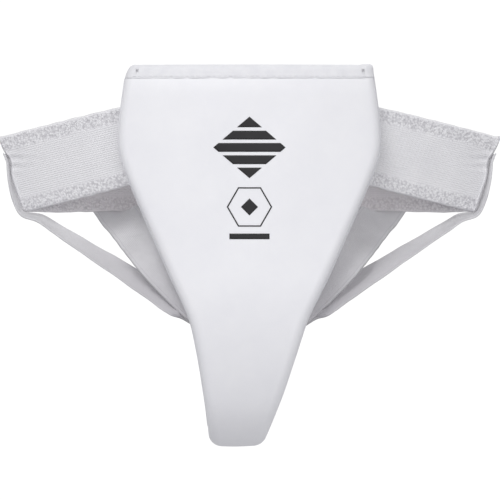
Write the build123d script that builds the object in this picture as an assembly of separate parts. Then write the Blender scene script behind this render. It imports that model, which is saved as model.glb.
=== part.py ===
from build123d import *
from math import asin, cos, degrees, pi, radians, sin, sqrt, tan
import os

# Groin protector. Millimetres, +Z up, the wearer faces -Y, the wearer's right is -X.
# Origin: centre of the waist loop, half-way up the back band.

# ---- shield outline (front view) ----
TOP_Z = 78.75
TOP_HALF = 92.1          # half width at the top corners, before the shoulder is rounded
SIDE_FLARE = 0.16        # the sides open this much per millimetre going down from the top
KINK_Z = -115.0          # where the broad upper part meets the narrow tail
KINK_HALF = 43.2
BODY_TAPER = 0.447
TAIL_TAPER = 0.231
SHOULDER_ROUND = 4.6     # how far the rounded shoulder cuts inside its corner
KINK_ROUND = 0.8

# ---- shield side profile: straight, then two arcs that turn under ----
FRONT_Y = -78.0          # front-most plane of the face
STRAIGHT_END_Z = -82.0
BEND_RADIUS = 190.0
BEND_ANGLE = 28.0
CURL_RADIUS = 70.8
CURL_ANGLE = 57.0
CROSS_RADIUS = 260.0     # the face is convex across its width
TAIL_CORNER = 12.0       # corner radius of the tail's end
EDGE_ROUND = 9.0         # padded front edge
TOP_ROLL = 4.5           # the face rolls back this much at the top edge
TOP_ROLL_LENGTH = 22.0

# ---- layers, as depths behind the front plane ----
COVER = 1.2
FOAM_BACK = 9.2
POCKET_FRONT = 10.0
POCKET_BACK = 15.0
PAD_BACK = 18.6
LINING_BACK = 19.4
BINDING_BACK = 20.4
POCKET_MARGIN = 8.0      # from the shield's edge to the side seam of the pocket
BINDING_WIDTH = 9.0
MOUTH_BINDING_HEIGHT = 9.5
TAPE = 0.9
END_WALL = 1.5           # the layers inside the cover stop this far from the tail's end
LIP_ROOM = 40.0          # reach of the boxes that trim the mouth's lips
THROUGH = 200.0          # longer than any cut through the shield

# ---- impact insert ----
INSERT_THICKNESS = 3.0
RIM_THICKNESS = 4.4
RIM_WIDTH = 3.6
INSERT_TOP_Z = 66.0
INSERT_SIDE_GAP = 1.4
INSERT_MAX_HALF = 81.5
SEAT_GAP = 0.4
INSERT_CORNER = 14.0
VENT_LENGTH = 26.0
VENT_WIDTH = 5.0
VENT_COLUMN = 32.0       # the outer vents stand this far from the centre line
VENT_ROW = 28.0
VENT_LOWEST = -48.0
BLANK_ROOM = 5.0         # the uncut plates reach this far past the insert

# ---- elastics ----
BAND_WIDTH = 60.0
BAND_THICKNESS = 1.8
STRAP_WIDTH = 30.0
STRAP_THICKNESS = 1.5
CLEAR = 0.3
FIT = 0.1                # play between layers that lie on each other
WING_START_X = 98.5      # the free part of the wing starts just outside the shield
WING_START = (35.4, 17.5)    # distance in front of the origin plane, and height
WING_START_WIDTH = 61.6      # the band cut upright, across its slope
TAB_INNER_X = -72.0          # the sewn end of the wing reaches this far in
FOLD_X = 177.6
FOLD_Z = -1.9
FOLD_Y = -4.4
FOLD_RADIUS = 1.6
WING_SLOPE = 13.0
FOLD_SLOPE = 19.0
REAR_TOP_X = 97.0        # the rear strap leaves the back band here
REAR_TOP_Z = -32.0
REAR_TOP_WIDTH = 35.0    # the strap cut level, across its slope
BACK_BOW = 12.0          # the back band's middle stands this far behind the origin plane
WING_BOW = 2.5           # each wing bows forward this much
LABEL_SIZE = (30.0, 0.5, 24.0)
LABEL_Z = -4.0
SEAM_COLUMNS = (-76.0, -86.0)
SEAM_PITCH = 5.5
SEAM_STITCH = (0.7, 0.7, 3.4)
MOUTH_STITCH = (3.0, 0.5, 0.7)
MOUTH_STITCHES = 34
MOUTH_TACK = (2.0, 0.8, 5.0)

# ---- printed marks ----
PLATE_HALF = 104.0       # wide enough for any plate that is trimmed later
INK = 0.2
EMBLEM_Z = 17.5
EMBLEM_WIDTH = 54.0
EMBLEM_HEIGHT = 46.0
EMBLEM_BARS = 5
BAR_GAP = 2.6
SEAL_Z = -27.0
SEAL_RADIUS = 17.0
SEAL_LINE = 1.1
CAPTION_Z = -49.0
CAPTION_SIZE = (30.0, 4.2)


# ------------------------------------------------------------------ helpers
def soft_min(a, b, rounding):
    """The smaller of two values, with the change-over rounded."""
    return (a + b) / 2 - sqrt(((a - b) / 2) ** 2 + rounding ** 2)


def half_width(z):
    """Half width of the shield at height z."""
    upper = TOP_HALF + SIDE_FLARE * (TOP_Z - z)
    body = KINK_HALF + BODY_TAPER * (z - KINK_Z)
    tail = KINK_HALF + TAIL_TAPER * (z - KINK_Z)
    return soft_min(upper, -soft_min(-body, -tail, KINK_ROUND), SHOULDER_ROUND)


STRAIGHT = TOP_Z - STRAIGHT_END_Z
BEND_LENGTH = BEND_RADIUS * radians(BEND_ANGLE)
CURL_LENGTH = CURL_RADIUS * radians(CURL_ANGLE)
SPINE_LENGTH = STRAIGHT + BEND_LENGTH + CURL_LENGTH
TAIL_END = SPINE_LENGTH - 0.3


def spine(s):
    """Depth, height and downward tilt (radians) of the face's centre line, s from the top edge."""
    if s <= STRAIGHT:
        return FRONT_Y, TOP_Z - s, 0.0
    if s <= STRAIGHT + BEND_LENGTH:
        tilt = (s - STRAIGHT) / BEND_RADIUS
        return FRONT_Y + BEND_RADIUS * (1 - cos(tilt)), STRAIGHT_END_Z - BEND_RADIUS * sin(tilt), tilt
    start = radians(BEND_ANGLE)
    tilt = start + (s - STRAIGHT - BEND_LENGTH) / CURL_RADIUS
    y = FRONT_Y + BEND_RADIUS * (1 - cos(start)) + CURL_RADIUS * (cos(start) - cos(tilt))
    z = STRAIGHT_END_Z - BEND_RADIUS * sin(start) - CURL_RADIUS * (sin(tilt) - sin(start))
    return y, z, tilt


def edge_half(s):
    """Half width along the spine, with the tail's rounded end."""
    half = half_width(spine(s)[1])
    left = SPINE_LENGTH - s
    if left >= TAIL_CORNER:
        return half
    return half - TAIL_CORNER + sqrt(max(TAIL_CORNER ** 2 - (TAIL_CORNER - left) ** 2, 0.0))


def face_roll(s):
    """How far the face lies behind its nominal surface at the rolled top edge and tail end."""
    roll = 0.0
    if s < TOP_ROLL_LENGTH:
        roll = TOP_ROLL * (1 - max(s, 0.0) / TOP_ROLL_LENGTH) ** 2
    left = SPINE_LENGTH - s
    if left < EDGE_ROUND:
        roll = EDGE_ROUND - sqrt(EDGE_ROUND ** 2 - (EDGE_ROUND - max(left, 0.0)) ** 2)
    return roll


def cross_sag(x, depth):
    """Extra depth of a layer at distance x from the centre line."""
    radius = CROSS_RADIUS - depth
    return radius - sqrt(radius ** 2 - x ** 2)


def shield_point(x, s, depth):
    """A point of the layer at this depth, with the layer's inward normal."""
    y, z, tilt = spine(s)
    inward = Vector(0, cos(tilt), sin(tilt))
    return Vector(x, y, z) + inward * (depth + cross_sag(x, depth)), inward


def section(s, front, back, inset, rounding):
    """Cross-section of a layer at s: two concentric arcs and two straight sides."""
    y, z, tilt = spine(s)
    plane = Plane(origin=(0, y, z), x_dir=(1, 0, 0), z_dir=(0, -sin(tilt), cos(tilt)))
    half = edge_half(s) - inset
    front_edge = front + cross_sag(half, front)
    back_edge = back + cross_sag(half, back)
    front_arc = ThreePointArc((-half, front_edge), (0, front), (half, front_edge))
    back_arc = ThreePointArc((half, back_edge), (0, back), (-half, back_edge))
    sides = [Line(front_arc @ 1, back_arc @ 0), Line(back_arc @ 1, front_arc @ 0)]
    face = make_face([front_arc, sides[0], back_arc, sides[1]])
    if rounding:
        corners = face.vertices().sort_by(Axis.Y)[:2]
        face = fillet(corners, rounding)
    return plane * face


def stations(first, last):
    """Places along the spine: close together where the shield turns or ends."""
    marks = [first, 6.0, 14.0, 24.0]
    marks += [38.0 + 15.3 * i for i in range(9)]
    marks += [STRAIGHT + BEND_LENGTH * i / 5 for i in range(1, 6)]
    marks += [SPINE_LENGTH - CURL_LENGTH * (6 - i) / 7 for i in range(6)]
    marks += [SPINE_LENGTH - left for left in (6.0, 3.0, 1.3, 0.3)]
    inside = [s for s in marks if first <= s < last - 0.5]
    return inside + [last]


def layer(front, back, inset=0.0, rounding=0.0, first=0.0, last=TAIL_END, rolled=False):
    """A layer of the shield between two depths, lofted along the spine."""
    faces = []
    for s in stations(first, last):
        roll = face_roll(s) if rolled else 0.0
        faces.append(section(s, front + roll, max(back, front + roll + 0.4), inset, rounding))
    return loft(faces, ruled=True)


def ribbon(places, thickness):
    """A flat band through (centre, width vector, width) places."""
    faces = []
    for i, (centre, across, width) in enumerate(places):
        before = places[max(i - 1, 0)][0]
        after = places[min(i + 1, len(places) - 1)][0]
        normal = (after - before).cross(across).normalized() * (thickness / 2)
        half = across.normalized() * (width / 2)
        front = [centre - half - normal, centre + half - normal]
        back = [centre + half + normal, centre - half + normal]
        faces.append(make_face(Polyline(*front, *back, close=True)))
    return loft(faces, ruled=True)


def mirrored(shape):
    return shape.mirror(Plane.YZ)


def outline_prism(half_at, bottom, top, count=9):
    """Prism along Y whose half width at each height comes from half_at."""
    heights = [bottom + (top - bottom) * i / (count - 1) for i in range(count)]
    right = [(half_at(z), z) for z in heights]
    left = [(-x, z) for x, z in reversed(right)]
    face = Plane.XZ * make_face(Polyline(*right, *left, close=True))
    return extrude(face, amount=THROUGH, both=True)


def bent_plate(front, back, bottom, top, half=PLATE_HALF):
    """Plate in the straight part of the shield that follows its cross curve."""
    inner = CROSS_RADIUS - back
    centre_y = FRONT_Y + CROSS_RADIUS
    ring = Circle(CROSS_RADIUS - front) - Circle(inner)
    window = Pos(0, -CROSS_RADIUS) * Rectangle(2 * half, 1.5 * CROSS_RADIUS)
    return extrude(Plane.XY.offset(bottom) * Pos(0, centre_y) * (ring & window), amount=top - bottom)


# ------------------------------------------------------------------ shield
def make_shield():
    end = SPINE_LENGTH - END_WALL
    core = layer(COVER, LINING_BACK + 1, COVER, EDGE_ROUND - COVER, -2, end, True)
    shell = layer(0, PAD_BACK, rounding=EDGE_ROUND, rolled=True)
    cover = shell - core
    foam = core & layer(0, FOAM_BACK, last=end)
    lining_start = MOUTH_BINDING_HEIGHT + FIT
    pocket_lining = layer(FOAM_BACK, POCKET_FRONT, COVER + FIT, first=lining_start, last=end)
    rear = layer(POCKET_FRONT, PAD_BACK - FIT, COVER + FIT, last=end)
    cavity = layer(POCKET_FRONT - 0.01, POCKET_BACK, POCKET_MARGIN, first=-4, last=STRAIGHT)
    rear_pad = rear - cavity
    rear_lining = layer(PAD_BACK, LINING_BACK)
    ring = layer(LINING_BACK, BINDING_BACK)
    hole = layer(LINING_BACK - 1, BINDING_BACK + 1, BINDING_WIDTH, first=MOUTH_BINDING_HEIGHT,
                 last=SPINE_LENGTH - BINDING_WIDTH)
    rear_binding = ring - hole
    return cover, foam, pocket_lining, rear_pad, rear_lining, rear_binding


def trim_to_mouth(solids):
    """Bind both lips of the pocket mouth and cut the layers to make room for the tape."""
    cover, foam, pocket_lining, rear_pad, rear_lining, rear_binding = solids
    mouth_half = half_width(TOP_Z) - POCKET_MARGIN - CLEAR
    low = TOP_Z - MOUTH_BINDING_HEIGHT
    upward = (Align.CENTER, Align.CENTER, Align.MIN)
    across = Pos(0, 0, low) * Box(2 * mouth_half, 2 * THROUGH, LIP_ROOM, align=upward)
    wide = Pos(0, 0, low) * Box(2 * half_width(TOP_Z), 2 * THROUGH, LIP_ROOM, align=upward)
    front_lip = layer(-TAPE, POCKET_FRONT, -20, first=-TAPE, last=MOUTH_BINDING_HEIGHT, rolled=True)
    front_lip = front_lip - layer(0, POCKET_FRONT - TAPE, -30, first=0, last=LIP_ROOM, rolled=True)
    front_lip = front_lip & wide
    back_lip = bent_plate(POCKET_BACK, BINDING_BACK + TAPE, low, TOP_Z + TAPE)
    back_lip = (back_lip - bent_plate(POCKET_BACK + TAPE, BINDING_BACK, low - 1, TOP_Z)) & across
    foam = foam - front_lip
    cover = cover - front_lip
    rear_pad = rear_pad - front_lip - back_lip
    rear_lining = rear_lining - back_lip
    rear_binding = rear_binding - back_lip
    return cover, foam, pocket_lining, rear_pad, rear_lining, rear_binding, front_lip, back_lip


# ------------------------------------------------------------------ insert
def insert_half(z):
    return soft_min(half_width(z) - POCKET_MARGIN - INSERT_SIDE_GAP, INSERT_MAX_HALF, 1.0)


def insert_blank(inset):
    """Outline of the insert with rounded corners."""
    bottom = STRAIGHT_END_Z + SEAT_GAP + inset
    top = INSERT_TOP_Z - inset
    prism = outline_prism(lambda z: insert_half(z) - inset, bottom, top)
    corners = prism.edges().filter_by(Axis.Y)
    ends = corners.group_by(Axis.Z)[0] + corners.group_by(Axis.Z)[-1]
    return fillet(ends, INSERT_CORNER - inset)


def make_insert():
    middle = (POCKET_FRONT + POCKET_BACK) / 2
    bottom = STRAIGHT_END_Z - BLANK_ROOM
    top = INSERT_TOP_Z + BLANK_ROOM
    plate = bent_plate(middle - INSERT_THICKNESS / 2, middle + INSERT_THICKNESS / 2, bottom, top)
    thick = bent_plate(middle - RIM_THICKNESS / 2, middle + RIM_THICKNESS / 2, bottom, top)
    slot = SlotOverall(VENT_LENGTH, VENT_WIDTH)
    rows = [VENT_LOWEST + VENT_ROW * i for i in range(4)]
    places = [(0, z) for z in rows]
    places += [(x, z) for x in (-VENT_COLUMN, VENT_COLUMN) for z in rows[2:]]
    vents = [extrude(Plane.XZ * Pos(x, z) * slot, amount=THROUGH, both=True) for x, z in places]
    insert = (plate & insert_blank(1.0)) - vents
    rim = (thick & insert_blank(0.0)) - insert_blank(RIM_WIDTH)
    return insert, rim - insert


# ------------------------------------------------------------------ elastics
def slanted(degrees_out, side=-1):
    """Upright width vector that leans outward by an angle, seen from the front."""
    lean = radians(degrees_out)
    return Vector(side * sin(lean), 0, cos(lean))


def back_band_y(x):
    """Middle of the back band's thickness at x."""
    bow = 1 - (x / FOLD_X) ** 2
    return FOLD_Y + FOLD_RADIUS + (BACK_BOW - FOLD_Y - FOLD_RADIUS) * bow


def wing_places():
    """Left wing and its half of the back band, from the shield to the middle of the back."""
    start_depth, start_z = WING_START
    places = []
    for i in range(5):
        t = i / 4
        x = -WING_START_X - (FOLD_X - 1 - WING_START_X) * t
        y = -start_depth + (start_depth + FOLD_Y - FOLD_RADIUS) * t - WING_BOW * sin(pi * t)
        z = start_z + (FOLD_Z - start_z) * t
        slope = WING_SLOPE + (FOLD_SLOPE - WING_SLOPE) * t ** 3 if i else 0.0
        places.append((Vector(x, y, z), slanted(slope), BAND_WIDTH if i else WING_START_WIDTH))
    for turn in (45, 90, 135):
        x = -FOLD_X - FOLD_RADIUS * sin(radians(turn))
        y = FOLD_Y - FOLD_RADIUS * cos(radians(turn))
        places.append((Vector(x, y, FOLD_Z), slanted(FOLD_SLOPE), BAND_WIDTH))
    for i in range(1, 7):
        x = -(FOLD_X - 2) * (1 - (i - 0.7) / 5.3)
        slope = FOLD_SLOPE * max(0.0, 1 - (i - 0.6) / 1.5)
        z = FOLD_Z * max(0.0, 1 - i / 3)
        places.append((Vector(x, back_band_y(x), z), slanted(slope), BAND_WIDTH))
    return places


def make_waistband():
    left = wing_places()
    right = []
    for centre, across, width in reversed(left[:-1]):
        right.append((Vector(-centre.X, centre.Y, centre.Z), Vector(-across.X, across.Y, across.Z), width))
    return ribbon(left + right, BAND_THICKNESS)


def wing_tab():
    """Sewn end of the left wing, following the shield's back."""
    front = BINDING_BACK + CLEAR / 2
    outer_x = -WING_START_X + CLEAR
    rise = (TAB_INNER_X - outer_x) * -tan(radians(WING_SLOPE))
    half = WING_START_WIDTH / 2
    outer_z = WING_START[1]
    inner_z = outer_z - rise
    outer = [(outer_x, outer_z - half), (outer_x, outer_z + half)]
    inner = [(TAB_INNER_X, inner_z + half), (TAB_INNER_X, inner_z - half)]
    outline = make_face(Polyline(*outer, *inner, close=True))
    prism = extrude(Plane.XZ * outline, amount=THROUGH, both=True)
    return prism & bent_plate(front, front + BAND_THICKNESS, -40, 70)


def leaning(angle, slope):
    """Width vector in the front plane at a slope, turned backward by an angle."""
    lean = radians(slope)
    back = radians(angle)
    return Vector(sin(lean) * cos(back), sin(back), cos(lean) * cos(back))


def anchor(x, z, depth, slope):
    """Strap end flat on the shield's back."""
    s = TOP_Z - z
    point, inward = shield_point(x, s, depth)
    return point, leaning(0, slope) - inward * leaning(0, slope).dot(inward)


REAR_ANCHOR_DEPTH = BINDING_BACK + 2.0
SIDE_ANCHOR_DEPTH = REAR_ANCHOR_DEPTH + STRAP_THICKNESS + 0.7


def side_strap():
    """Left side strap: from the outside of the side fold to the back of the shield."""
    end, end_across = anchor(-36.0, -113.0, SIDE_ANCHOR_DEPTH, 32)
    near, near_across = anchor(-46.0, -106.5, SIDE_ANCHOR_DEPTH + 2.6, 32)
    return [
        (Vector(-184.3, -3.5, 4.0), Vector(0.2, 1, 0), 14.0),
        (Vector(-181.6, -3.5, -9.0), Vector(0.2, 1, 0), 20.0),
        (Vector(-177.8, -3.8, -21.8), Vector(0.2, 1, 0.1), 26.0),
        (Vector(-173.0, -4.4, -31.4), leaning(78, 45), STRAP_WIDTH),
        (Vector(-161.8, -5.6, -36.0), leaning(72, 36), STRAP_WIDTH),
        (Vector(-146.6, -9.0, -42.8), leaning(69, 34), STRAP_WIDTH),
        (Vector(-120.0, -17.5, -59.2), leaning(65, 33), STRAP_WIDTH),
        (Vector(-93.4, -26.5, -75.8), leaning(60, 33), STRAP_WIDTH),
        (Vector(-70.0, -36.0, -90.5), leaning(42, 32), STRAP_WIDTH),
        (near, near_across, STRAP_WIDTH),
        (end, end_across, STRAP_WIDTH),
    ]


def rear_strap():
    """Left rear strap: from just below the back band to the back of the shield."""
    end, end_across = anchor(-33.0, -107.0, REAR_ANCHOR_DEPTH, 44)
    near, near_across = anchor(-45.0, -95.5, REAR_ANCHOR_DEPTH + 2.8, 42)
    behind = back_band_y(REAR_TOP_X) + BAND_THICKNESS / 2 + STRAP_THICKNESS / 2 + CLEAR
    return [
        (Vector(-REAR_TOP_X, behind, REAR_TOP_Z), Vector(1, 0, 0), REAR_TOP_WIDTH),
        (Vector(-93.6, behind - 4.0, -37.6), leaning(6, 25), 33.0),
        (Vector(-86.6, behind - 20.0, -47.5), leaning(12, 48), STRAP_WIDTH),
        (Vector(-77.0, -33.5, -59.5), leaning(14, 51), STRAP_WIDTH),
        (Vector(-65.0, -42.0, -73.5), leaning(8, 47), STRAP_WIDTH),
        (near, near_across, STRAP_WIDTH),
        (end, end_across, STRAP_WIDTH),
    ]


# ------------------------------------------------------------------ tacks and stitching
def zigzag_tack(centre, along, across, length, width, passes=5):
    """Bar tack: a row of short thread bars."""
    along = along.normalized()
    across = across.normalized()
    normal = along.cross(across)
    bars = []
    for i in range(passes):
        offset = along * (length * (i / (passes - 1) - 0.5))
        plane = Plane(origin=centre + offset, x_dir=across, z_dir=normal)
        bars.append((plane * Box(width, 1.0, 0.8)).solid())
    return Compound(children=bars)


def side_tack():
    """Tack above the side strap's end, on the outside of the band's fold."""
    z = 10.0
    fold_x = -FOLD_X - FOLD_RADIUS - (z - FOLD_Z) * tan(radians(FOLD_SLOPE))
    return zigzag_tack(Vector(fold_x - 1.8, FOLD_Y, z), slanted(FOLD_SLOPE), Vector(0, 1, 0), 8, 5)


def rear_tack():
    """Tack on the rear face of the back band, above the rear strap."""
    y = back_band_y(REAR_TOP_X) + BAND_THICKNESS / 2 + 0.9
    return zigzag_tack(Vector(-REAR_TOP_X, y, -18.0), Vector(0, 0, 1), Vector(1, 0.09, 0), 12, 24)


def lower_tack(end):
    """Tack through both straps' lower ends."""
    point, across, width = end
    along = Vector(1, 0, -0.62)
    normal = along.cross(across).normalized()
    behind = normal * (STRAP_THICKNESS / 2 + 2.1)
    if behind.Y < 0:
        behind = behind * -1
    return zigzag_tack(point + behind, along, across, 8, width - 8)


def upright_stitch(x, s, depth, size):
    """Small block of thread lying on the shield's curve."""
    turn = degrees(asin(x / CROSS_RADIUS))
    return (Pos(*shield_point(x, s, depth)[0]) * Rot(0, 0, turn) * Box(*size)).solid()


def wing_seam():
    """Two upright rows of stitches through the wing's sewn end."""
    solids = []
    depth = BINDING_BACK + CLEAR / 2 + BAND_THICKNESS + 0.5
    for x in SEAM_COLUMNS:
        for i in range(9):
            z = WING_START[1] + 1 + SEAM_PITCH * (i - 4)
            solids.append(upright_stitch(x, TOP_Z - z, depth, SEAM_STITCH))
    return Compound(children=solids)


def label():
    """Blank label inside the middle of the back band."""
    y = BACK_BOW - BAND_THICKNESS / 2 - CLEAR - LABEL_SIZE[1] / 2
    return Pos(0, y, LABEL_Z) * Box(*LABEL_SIZE)


def mouth_stitches():
    """Row of stitches along the lower edge of the front binding."""
    half = half_width(TOP_Z) - 6
    s = MOUTH_BINDING_HEIGHT - 1.6
    depth = face_roll(s) - TAPE - 0.4
    solids = []
    for i in range(MOUTH_STITCHES):
        x = -half + 2 * half * i / (MOUTH_STITCHES - 1)
        solids.append(upright_stitch(x, s, depth, MOUTH_STITCH))
    return Compound(children=solids)


def mouth_tacks():
    """Bar tacks at the two ends of the mouth binding."""
    s = MOUTH_BINDING_HEIGHT / 2
    half = half_width(TOP_Z) - 5
    depth = face_roll(s) - TAPE - 1.3
    return Compound(children=[upright_stitch(x, s, depth, MOUTH_TACK) for x in (-half, half)])


# ------------------------------------------------------------------ printed marks
def ink(sketch):
    """Thin printed film on the face."""
    prism = extrude(Plane.XZ * sketch, amount=THROUGH)
    film = bent_plate(-INK, 0, CAPTION_Z - 20, EMBLEM_Z + 60)
    return prism & film


def emblem():
    """Lozenge cut into horizontal bars."""
    tall = EMBLEM_HEIGHT / 2
    wide = EMBLEM_WIDTH / 2
    lozenge = make_face(Polyline((0, tall), (wide, 0), (0, -tall), (-wide, 0), close=True))
    pitch = EMBLEM_HEIGHT / EMBLEM_BARS
    gaps = [Pos(0, pitch * (i + 1) - EMBLEM_HEIGHT / 2) * Rectangle(EMBLEM_WIDTH, BAR_GAP)
            for i in range(EMBLEM_BARS - 1)]
    return ink(Pos(0, EMBLEM_Z) * (lozenge - gaps))


def seal():
    """Hexagon outline with a small lozenge in it and a plain bar below."""
    hexagon = RegularPolygon(SEAL_RADIUS, 6)
    ring = hexagon - RegularPolygon(SEAL_RADIUS - SEAL_LINE, 6)
    inner = Rot(0, 0, 45) * Rectangle(9, 9)
    caption = Pos(0, CAPTION_Z - SEAL_Z) * Rectangle(*CAPTION_SIZE)
    return ink(Pos(0, SEAL_Z) * (ring + inner + caption))


# ------------------------------------------------------------------ build
def as_shape(shape):
    """One solid, or a compound when the piece is a group of solids."""
    solids = shape.solids()
    if len(solids) == 1:
        return solids[0]
    return Compound(children=list(solids))


def build():
    nodes = {}
    names = ["face_cover", "face_foam", "pocket_lining", "rear_pad", "rear_lining", "rear_binding",
             "mouth_binding_front", "mouth_binding_back"]
    for name, solid in zip(names, trim_to_mouth(make_shield())):
        nodes[name] = solid
    nodes["impact_insert"], nodes["insert_rim"] = make_insert()
    nodes["waistband"] = make_waistband()
    nodes["emblem_print"] = emblem()
    nodes["seal_print"] = seal()
    nodes["mouth_stitching"] = mouth_stitches()
    nodes["mouth_tacks"] = mouth_tacks()
    nodes["care_label"] = label()

    side = side_strap()
    rear = rear_strap()
    pieces = {
        "wing_tab": wing_tab(),
        "side_strap": ribbon(side, STRAP_THICKNESS),
        "rear_strap": ribbon(rear, STRAP_THICKNESS),
        "side_strap_tack": side_tack(),
        "rear_strap_tack": rear_tack(),
        "lower_strap_tack": lower_tack(side[-1]),
        "wing_seam": wing_seam(),
    }
    for name, shape in pieces.items():
        nodes[name + "_left"] = shape
        nodes[name + "_right"] = mirrored(shape)

    os.makedirs("parts", exist_ok=True)
    for name, shape in nodes.items():
        export_step(as_shape(shape), "parts/" + name + ".step")


build()
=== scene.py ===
import math
import random

import bmesh
import bpy
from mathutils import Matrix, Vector


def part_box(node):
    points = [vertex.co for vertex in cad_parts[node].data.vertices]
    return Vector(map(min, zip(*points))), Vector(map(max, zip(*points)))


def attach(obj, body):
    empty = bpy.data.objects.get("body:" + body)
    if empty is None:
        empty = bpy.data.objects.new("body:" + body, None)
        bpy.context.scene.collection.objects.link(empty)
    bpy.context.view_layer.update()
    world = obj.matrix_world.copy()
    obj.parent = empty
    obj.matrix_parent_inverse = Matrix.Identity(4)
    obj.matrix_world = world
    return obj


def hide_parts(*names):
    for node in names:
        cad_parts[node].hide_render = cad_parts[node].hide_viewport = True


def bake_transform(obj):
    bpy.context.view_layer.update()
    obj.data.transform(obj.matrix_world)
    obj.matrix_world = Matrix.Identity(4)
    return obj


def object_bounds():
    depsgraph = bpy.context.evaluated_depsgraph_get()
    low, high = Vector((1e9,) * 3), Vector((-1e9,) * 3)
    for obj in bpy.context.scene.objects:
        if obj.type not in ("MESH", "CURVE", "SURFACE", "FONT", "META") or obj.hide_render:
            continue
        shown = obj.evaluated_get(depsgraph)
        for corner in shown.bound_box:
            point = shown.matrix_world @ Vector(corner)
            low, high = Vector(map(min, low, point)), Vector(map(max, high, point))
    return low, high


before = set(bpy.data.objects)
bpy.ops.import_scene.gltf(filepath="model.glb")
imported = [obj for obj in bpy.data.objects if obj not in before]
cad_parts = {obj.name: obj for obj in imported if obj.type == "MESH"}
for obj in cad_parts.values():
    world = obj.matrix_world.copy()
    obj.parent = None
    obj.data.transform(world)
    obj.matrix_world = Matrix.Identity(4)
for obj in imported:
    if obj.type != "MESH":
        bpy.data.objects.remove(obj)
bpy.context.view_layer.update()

# Groin protector. Metres, +Z up, front towards -Y. Depths count backwards from the face.

MM = 0.001

# ---- shield, the same outline and side profile as the CAD model ----
TOP_Z = 78.75 * MM
TOP_HALF = 92.1 * MM
SIDE_FLARE = 0.16
KINK_Z = -115.0 * MM
KINK_HALF = 43.2 * MM
BODY_TAPER = 0.447
TAIL_TAPER = 0.231
SHOULDER_ROUND = 4.6 * MM
KINK_ROUND = 0.8 * MM
FRONT_Y = -78.0 * MM
STRAIGHT_END_Z = -82.0 * MM
BEND_RADIUS = 190.0 * MM
BEND_ANGLE = math.radians(28.0)
CURL_RADIUS = 70.8 * MM
CURL_ANGLE = math.radians(57.0)
CROSS_RADIUS = 260.0 * MM
TAIL_CORNER = 12.0 * MM
EDGE_ROUND = 9.0 * MM
TOP_ROLL = 4.5 * MM
TOP_ROLL_LENGTH = 22.0 * MM
TOP_CORNER = 3.4 * MM
TOP_CORNER_LENGTH = 11.0 * MM
TAIL_LEAN = 9.5 * MM      # the tail's tip stands this far off the centre line
LEAN_START_Z = -60.0 * MM
LEAN_LENGTH = 150.0 * MM

# ---- layers ----
COVER = 1.2 * MM
FOAM_BACK = 9.2 * MM
POCKET_FRONT = 10.0 * MM
POCKET_BACK = 15.0 * MM
PAD_BACK = 18.6 * MM
LINING_BACK = 19.4 * MM
BINDING_BACK = 20.4 * MM
POCKET_MARGIN = 8.0 * MM
MOUTH_BINDING = 9.5 * MM

# ---- elastics ----
BAND_WIDTH = 60.0 * MM
BAND_THICKNESS = 1.8 * MM
STRAP_WIDTH = 30.0 * MM
STRAP_THICKNESS = 1.5 * MM
WING_START = (35.4 * MM, 17.5 * MM)
WING_START_X = 98.5 * MM
FOLD_X = 177.6 * MM
FOLD_Z = -1.9 * MM
FOLD_Y = -4.4 * MM
FOLD_RADIUS = 1.6 * MM
WING_SLOPE = 13.0
FOLD_SLOPE = 19.0
BACK_BOW = 12.0 * MM
TAB_INNER_X = 72.0 * MM

STRAIGHT = TOP_Z - STRAIGHT_END_Z
BEND_LENGTH = BEND_RADIUS * BEND_ANGLE
CURL_LENGTH = CURL_RADIUS * CURL_ANGLE
SPINE_LENGTH = STRAIGHT + BEND_LENGTH + CURL_LENGTH


# ---- shield shape
def soft_min(a, b, rounding):
    """The smaller of two values, with the change-over rounded."""
    return (a + b) / 2 - math.sqrt(((a - b) / 2) ** 2 + rounding ** 2)


def half_width(z):
    """Half width of the shield at a height: sides, body taper and tail taper, rounded together."""
    upper = TOP_HALF + SIDE_FLARE * (TOP_Z - z)
    body = KINK_HALF + BODY_TAPER * (z - KINK_Z)
    tail = KINK_HALF + TAIL_TAPER * (z - KINK_Z)
    return soft_min(upper, -soft_min(-body, -tail, KINK_ROUND), SHOULDER_ROUND)


def spine(s):
    """Depth, height and tilt of the face's centre line, s from the top edge."""
    if s <= STRAIGHT:
        return FRONT_Y, TOP_Z - s, 0.0
    if s <= STRAIGHT + BEND_LENGTH:
        tilt = (s - STRAIGHT) / BEND_RADIUS
        y = FRONT_Y + BEND_RADIUS * (1 - math.cos(tilt))
        return y, STRAIGHT_END_Z - BEND_RADIUS * math.sin(tilt), tilt
    tilt = BEND_ANGLE + (s - STRAIGHT - BEND_LENGTH) / CURL_RADIUS
    y = FRONT_Y + BEND_RADIUS * (1 - math.cos(BEND_ANGLE))
    y += CURL_RADIUS * (math.cos(BEND_ANGLE) - math.cos(tilt))
    z = STRAIGHT_END_Z - BEND_RADIUS * math.sin(BEND_ANGLE)
    z -= CURL_RADIUS * (math.sin(tilt) - math.sin(BEND_ANGLE))
    return y, z, tilt


def edge_half(s):
    """Half width along the spine, with the tail's rounded end."""
    half = half_width(spine(s)[1])
    left = SPINE_LENGTH - s
    if left >= TAIL_CORNER:
        return half
    return half - TAIL_CORNER + math.sqrt(max(TAIL_CORNER ** 2 - (TAIL_CORNER - left) ** 2, 0.0))


def face_roll(s):
    """How far the face lies behind its nominal surface at the top edge and the tail's end."""
    left = SPINE_LENGTH - s
    if left < EDGE_ROUND:
        return EDGE_ROUND - math.sqrt(EDGE_ROUND ** 2 - (EDGE_ROUND - max(left, 0.0)) ** 2)
    if s < TOP_ROLL_LENGTH:
        return TOP_ROLL * (1 - max(s, 0.0) / TOP_ROLL_LENGTH) ** 2
    return 0.0


def cross_sag(x, depth):
    """How far a layer falls back at x, because the shield curves round the body."""
    radius = CROSS_RADIUS - depth
    return radius - math.sqrt(radius ** 2 - x ** 2)


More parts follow.
